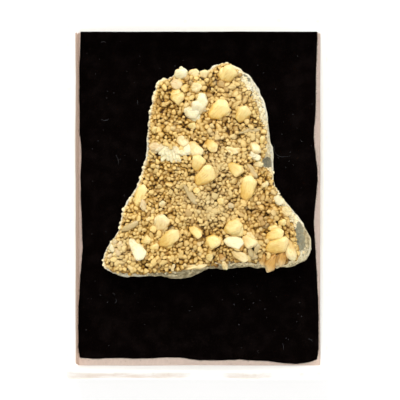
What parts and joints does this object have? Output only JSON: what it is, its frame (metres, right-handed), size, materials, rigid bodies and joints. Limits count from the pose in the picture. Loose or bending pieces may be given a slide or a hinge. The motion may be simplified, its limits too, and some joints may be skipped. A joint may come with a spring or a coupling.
{
  "type": "stilbite crystal specimen in a display tray",
  "caption": "Bell-shaped plate of rock carpeted with tan stilbite crystals, lying on a black velvet pad in an open white card tray.",
  "frame": {"origin": "middle of the tray's flat underside", "axes": "+Z up; +Y along the tray's long way, towards the narrow end of the rock plate; +X across, to the right seen from above with +Y upward"},
  "size_m": [0.062, 0.084, 0.0164],
  "materials": {
    "card": "matt white paper wrap",
    "velvet": "black velvet, short pile",
    "rock": "rough, broken",
    "stilbite": "satin to pearly"
  },
  "bodies": {
    "root": {"display_tray": "card", "velvet_pad": "velvet", "matrix_rock": "rock", "stilbite_crust": "stilbite"}
  },
  "joints": []
}
